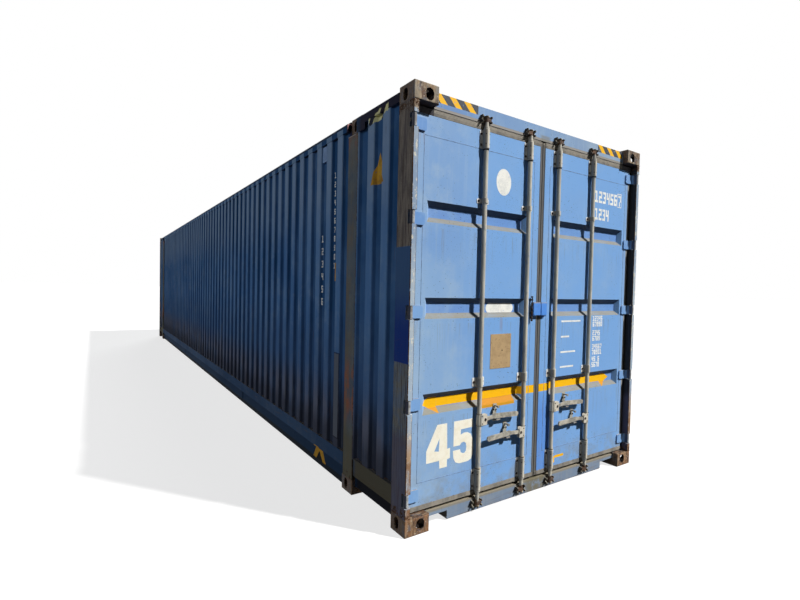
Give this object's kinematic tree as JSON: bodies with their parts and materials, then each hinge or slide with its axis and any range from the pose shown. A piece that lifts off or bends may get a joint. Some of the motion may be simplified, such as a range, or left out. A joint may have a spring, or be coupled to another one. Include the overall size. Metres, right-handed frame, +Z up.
{
  "type": "shipping container",
  "caption": "Long high-cube steel shipping container with corrugated walls, double doors, locking bars, and intermediate posts set in from each end.",
  "frame": {"origin": "centre of the footprint at the underside of the bottom castings", "axes": "+Y along the length from the doors to the front wall, +X to the right seen from the doors, +Z up"},
  "size_m": [2.5, 13.716, 2.896],
  "materials": {
    "paint": "weathered blue paint, dusty, rust at the edges",
    "door_paint": "sun-faded light blue paint with rust runs",
    "casting": "rusty cast steel with remains of blue paint",
    "bars": "weathered galvanised steel with a beige bloom",
    "hardware": "rusty galvanised steel",
    "gasket": "dusty grey rubber",
    "floor": "worn plywood",
    "under": "dark underbody coating"
  },
  "bodies": {
    "container": {"cam_keepers": "hardware", "corner_castings": "casting", "cross_members": "under", "door_header": "door_paint", "door_sill": "door_paint", "floor_boards": "floor", "front_beams": "paint", "front_posts": "paint", "front_wall": "paint", "hinge_pins": "hardware", "intermediate_castings": "casting", "intermediate_posts": "paint", "left_bottom_rail": "paint", "left_door_post": "paint", "left_side_wall": "paint", "left_top_rail": "paint", "overhang_rails": "paint", "right_bottom_rail": "paint", "right_door_post": "paint", "right_side_wall": "paint", "right_top_rail": "paint", "roof": "paint", "side_vents": "paint"},
    "left_door": {"left_door_bar_guides": "hardware", "left_door_frame": "door_paint", "left_door_gasket": "gasket", "left_door_handle_catches": "hardware", "left_door_hinges": "door_paint", "left_door_lap_plate": "door_paint", "left_door_panel": "door_paint"},
    "left_outer_bar": {"left_outer_bar": "bars"},
    "left_outer_handle": {"left_outer_handle": "bars"},
    "left_inner_bar": {"left_inner_bar": "bars"},
    "left_inner_handle": {"left_inner_handle": "bars"},
    "right_door": {"right_door_bar_guides": "hardware", "right_door_frame": "door_paint", "right_door_gasket": "gasket", "right_door_handle_catches": "hardware", "right_door_hinges": "door_paint", "right_door_lap_plate": "door_paint", "right_door_panel": "door_paint"},
    "right_outer_bar": {"right_outer_bar": "bars"},
    "right_outer_handle": {"right_outer_handle": "bars"},
    "right_inner_bar": {"right_inner_bar": "bars"},
    "right_inner_handle": {"right_inner_handle": "bars"}
  },
  "joints": [
    {"name": "left_door_swing", "type": "hinge", "parent": "container", "child": "left_door", "pos_m": [-1.232, -6.8405, 1.446], "axis": [0, 0, -1], "range_deg": [0, 265]},
    {"name": "left_outer_bar_turn", "type": "hinge", "parent": "left_door", "child": "left_outer_bar", "pos_m": [-0.615, -6.823, 1.43], "axis": [0, 0, 1], "range_deg": [-95, 0]},
    {"name": "left_outer_handle_lift", "type": "hinge", "parent": "left_outer_bar", "child": "left_outer_handle", "pos_m": [-0.575, -6.836, 0.6699], "axis": [0, 1, 0], "range_deg": [-12, 0]},
    {"name": "left_inner_bar_turn", "type": "hinge", "parent": "left_door", "child": "left_inner_bar", "pos_m": [-0.167, -6.823, 1.43], "axis": [0, 0, -1], "range_deg": [-95, 0]},
    {"name": "left_inner_handle_lift", "type": "hinge", "parent": "left_inner_bar", "child": "left_inner_handle", "pos_m": [-0.207, -6.836, 0.5199], "axis": [0, -1, 0], "range_deg": [-12, 0]},
    {"name": "right_door_swing", "type": "hinge", "parent": "container", "child": "right_door", "pos_m": [1.232, -6.8405, 1.446], "axis": [0, 0, 1], "range_deg": [0, 265]},
    {"name": "right_outer_bar_turn", "type": "hinge", "parent": "right_door", "child": "right_outer_bar", "pos_m": [0.615, -6.823, 1.43], "axis": [0, 0, -1], "range_deg": [-95, 0]},
    {"name": "right_outer_handle_lift", "type": "hinge", "parent": "right_outer_bar", "child": "right_outer_handle", "pos_m": [0.575, -6.836, 0.5169], "axis": [0, -1, 0], "range_deg": [-12, 0]},
    {"name": "right_inner_bar_turn", "type": "hinge", "parent": "right_door", "child": "right_inner_bar", "pos_m": [0.167, -6.823, 1.43], "axis": [0, 0, 1], "range_deg": [-95, 0]},
    {"name": "right_inner_handle_lift", "type": "hinge", "parent": "right_inner_bar", "child": "right_inner_handle", "pos_m": [0.207, -6.836, 0.6679], "axis": [0, 1, 0], "range_deg": [-12, 0]}
  ]
}
